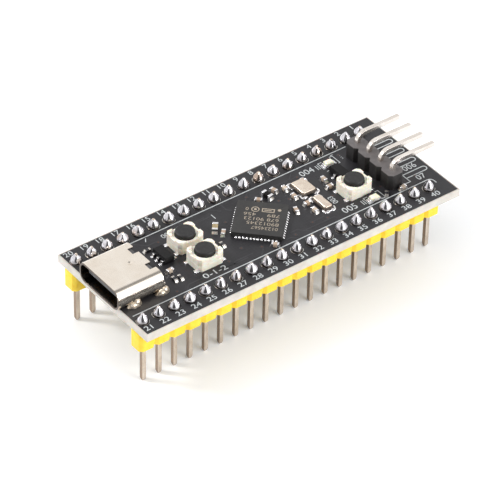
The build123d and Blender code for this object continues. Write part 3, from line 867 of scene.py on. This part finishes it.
def strip(name, node, count, corner, material, slot, turned=False, edge=0.05):
    """Moulded header strip with softened edges; turned is for one that runs along Y."""
    low, high = box_mm(node)
    width = (high.x - low.x) if turned else (high.y - low.y)
    length = (high.y - low.y) if turned else (high.x - low.x)
    bm = bmesh.new()
    outline = strip_outline(count, width, corner)
    centre = (low + high) / 2
    points = [(x - length / 2, y) for x, y in outline]
    if turned:
        points = [(-y, x) for x, y in points]
    corners = [Vector((centre.x + x, centre.y + y, low.z)) * MM for x, y in points]
    bottom = bm.faces.new([bm.verts.new(place) for place in corners])
    top = bmesh.ops.extrude_face_region(bm, geom=[bottom])
    bmesh.ops.translate(bm, vec=(0, 0, (high.z - low.z) * MM),
                        verts=[v for v in top["geom"] if isinstance(v, bmesh.types.BMVert)])
    bmesh.ops.bevel(bm, geom=list(bm.edges), offset=edge * MM, segments=2, profile=0.5, affect="EDGES",
                    clamp_overlap=True)
    add_piece(name, mesh_of(bm, name), material, slot=slot, replaces=[node], smooth=30)


ROW_NOTCH, DEBUG_NOTCH = 0.45, 0.5      # depth of the V notches between cells

for row in row_y:
    strip(row + "_strip", row + "_header_insulator", PINS, ROW_NOTCH, "yellow", "yellow_insulator")
    refine(row + "_header_pins", "pins", 0.05, slot="tinned_pins")
strip("debug_block", "debug_header_insulator", DEBUG_PINS, DEBUG_NOTCH, "black_plastic",
      "black_insulator", turned=True)
refine("debug_header_pins", "debug_pins", 0.05, slot="tinned_pins")


# ---------------------------------------------------------------- USB socket

refine("usb_shell", "shell", 0.035, slot="usb_shell_metal")
refine("usb_tongue", "tongue", 0.03, slot="usb_insulator")
refine("usb_contacts", "contact", 0.01, slot="gold_contacts", segments=1)
refine("usb_tails", "pad", 0.02, slot="solder_tin", segments=1)


def blob(bm, centre, size, random_source, count=28, levels=9):
    """Uneven low mound of solder on the board."""
    seed = Vector([random_source.uniform(-40, 40) for _ in range(3)])
    rings = []
    for i in range(levels + 1):
        lift = math.sin(math.pi / 2 * i / levels)
        spread = math.cos(math.pi / 2 * i / levels) ** 0.75 if i < levels else 0.03
        ring = []
        for k in range(count):
            a = 2 * math.pi * k / count
            out = Vector((math.cos(a), math.sin(a), lift))
            r = spread * (1 + 0.22 * noise.noise(seed + out * 1.4))
            ring.append((centre[0] + size[0] * r * out.x, centre[1] + size[1] * r * out.y,
                         centre[2] + size[2] * lift * (1 + 0.15 * noise.noise(seed - out))))
        rings.append(ring)
    lofted(bm, rings)


LEG_BLOBS = (      # shift along X, height of the base, half sizes and rise
    (0.0, TOP - JOINT_SINK, (1.12, 0.62, 0.66)),
    (0.35, TOP - JOINT_SINK, (0.66, 0.56, 0.95)),
    (0.0, BOTTOM + JOINT_SINK, (1.0, 0.56, -0.35)),
)
bm = bmesh.new()
for x, y in leg_spots:
    for shift, base, size in LEG_BLOBS:
        blob(bm, (x + shift, y, base), size, rng)
add_piece("usb_leg_joints", mesh_of(bm, "usb_leg_joints"), "flux_solder", slot="solder_tin",
          replaces=["usb_leg_solder"], smooth=60)


# ---------------------------------------------------------------- push buttons

for name in ("reset", "boot", "user"):
    refine(name + "_switch_base", "housing", 0.05, slot="switch_housing")
    refine(name + "_switch_cover", "housing", 0.06, slot="switch_housing", segments=3)
    refine(name + "_switch_feet", "solder", 0.03, slot="solder_tin")
    refine(name + "_switch_button", "button", 0.03, body=name + "_button", slot="button_cap")
    dome = name + "_switch_dome"
    low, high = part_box(dome)
    look = add_piece(dome + "_look", NODES[dome].data.copy(), "spring", slot="spring_dome",
                     replaces=[dome], smooth=40)
    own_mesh(look)


# ---------------------------------------------------------------- chips and small parts

refine("mcu_package", "mcu", 0.03, slot="mcu_moulding")
refine("mcu_pads", "bead", 0.02, slot="solder_tin", segments=1)
mcu_centre = middle("mcu_package")
MCU_TURN = 135        # degrees the chip's marking is turned
MARK_RISE, MARK_HEIGHT = 0.004, 0.66
CHIP_ROWS = (         # right, up, digits, width
    (-0.89, 2.05, "01234567", 0.98), (-0.5, 1.08, "89012345", 1.2), (-0.2, 0.16, "678 90123", 1.2),
    (1.5, -0.78, "456", 1.25), (-1.75, -0.78, "789", 1.3), (2.0, -1.85, "0", 1.0),
)
CHIP_FRAME = ((-0.1, -1.5), (-1.7, -1.5), (-1.7, -2.15), (-0.1, -2.15))
CHIP_BAR = ((-0.35, -1.83), (-1.35, -1.83))
CHIP_RING, RING_RADIUS, RING_DOT_RADIUS = (0.88, -1.86), 0.5, 0.2
PIN_ONE, PIN_ONE_RADIUS = (-2.4, -2.1), 0.26
marks = Sheet(box_mm("mcu_package")[1].z - SINK, SINK + MARK_RISE)


def on_chip(right, up):
    """Point on the chip from offsets in its marking's own directions."""
    a = math.radians(MCU_TURN)
    return (mcu_centre.x + right * math.cos(a) - up * math.sin(a),
            mcu_centre.y + right * math.sin(a) + up * math.cos(a))


for right, up, text, width in CHIP_ROWS:
    marks.number(text, *on_chip(right, up), MARK_HEIGHT, MCU_TURN, bold=THIN / 2, width=width)
ring_place = on_chip(*CHIP_RING)
marks.stroke(circle(*ring_place, RING_RADIUS, 20), 0.13, closed=True)
marks.prism(circle(*ring_place, RING_DOT_RADIUS, 14))
marks.stroke([on_chip(*spot) for spot in CHIP_FRAME], 0.14, closed=True)
marks.stroke([on_chip(*spot) for spot in CHIP_BAR], 0.16)
marks.prism(circle(*on_chip(*PIN_ONE), PIN_ONE_RADIUS, 16))
marks.build("mcu_marks", "marking", slot="mcu_moulding")

FILLET_REACH = {"main": 0.24, "clock": 0.3}      # how far the solder spreads past a crystal's pads
FILLET_INSET = 0.02
bm = bmesh.new()
for name, reach in FILLET_REACH.items():
    low, high = box_mm(name + "_crystal_pads")
    for x, out_x in ((low.x, -1), (high.x, 1)):
        for y, out_y in ((low.y, -1), (high.y, 1)):      # two mounds at each corner, one along each side
            blob(bm, (x - out_x * 0.42, y - out_y * FILLET_INSET, TOP), (0.5, reach, 0.26), rng, 20, 6)
            blob(bm, (x - out_x * FILLET_INSET, y - out_y * 0.4, TOP), (reach * 0.7, 0.42, 0.24), rng, 20, 6)
add_piece("crystal_fillets", mesh_of(bm, "crystal_fillets"), "bead", slot="solder_tin", smooth=60)

for name in ("main", "clock"):
    refine(name + "_crystal_base", "ceramic", 0.03, slot="crystal_ceramic")
    refine(name + "_crystal_lid", "lid", 0.02, slot="crystal_lid")
    refine(name + "_crystal_pads", "solder", 0.02, slot="solder_tin")
for name in ("user", "power"):
    refine(name + "_led_base", "led_base", 0.02, slot="led_substrate")
    refine(name + "_led_lens", "lens", 0.03, slot="led_lens")
    refine(name + "_led_ends", "solder", 0.02, slot="solder_tin")
for name in ("regulator", "transistor"):
    refine(name + "_body", "small_ic", 0.03, slot="small_ic_moulding")
    refine(name + "_leads", "solder", 0.02, slot="solder_tin")
for name, material, slot in (("small_capacitor", "capacitor", "capacitor_ceramic"),
                             ("large_capacitor", "pale_capacitor", "capacitor_ceramic"),
                             ("ferrite", "ferrite", "ferrite"), ("resistor", "resistor", "resistor_film")):
    refine(name + "_bodies", material, 0.02, slot=slot)
    refine(name + "_ends", "resistor_ends" if name == "resistor" else "solder", 0.04, slot="solder_tin",
           segments=3)
refine("chip_part_solder", "pad", 0.015, slot="solder_tin")
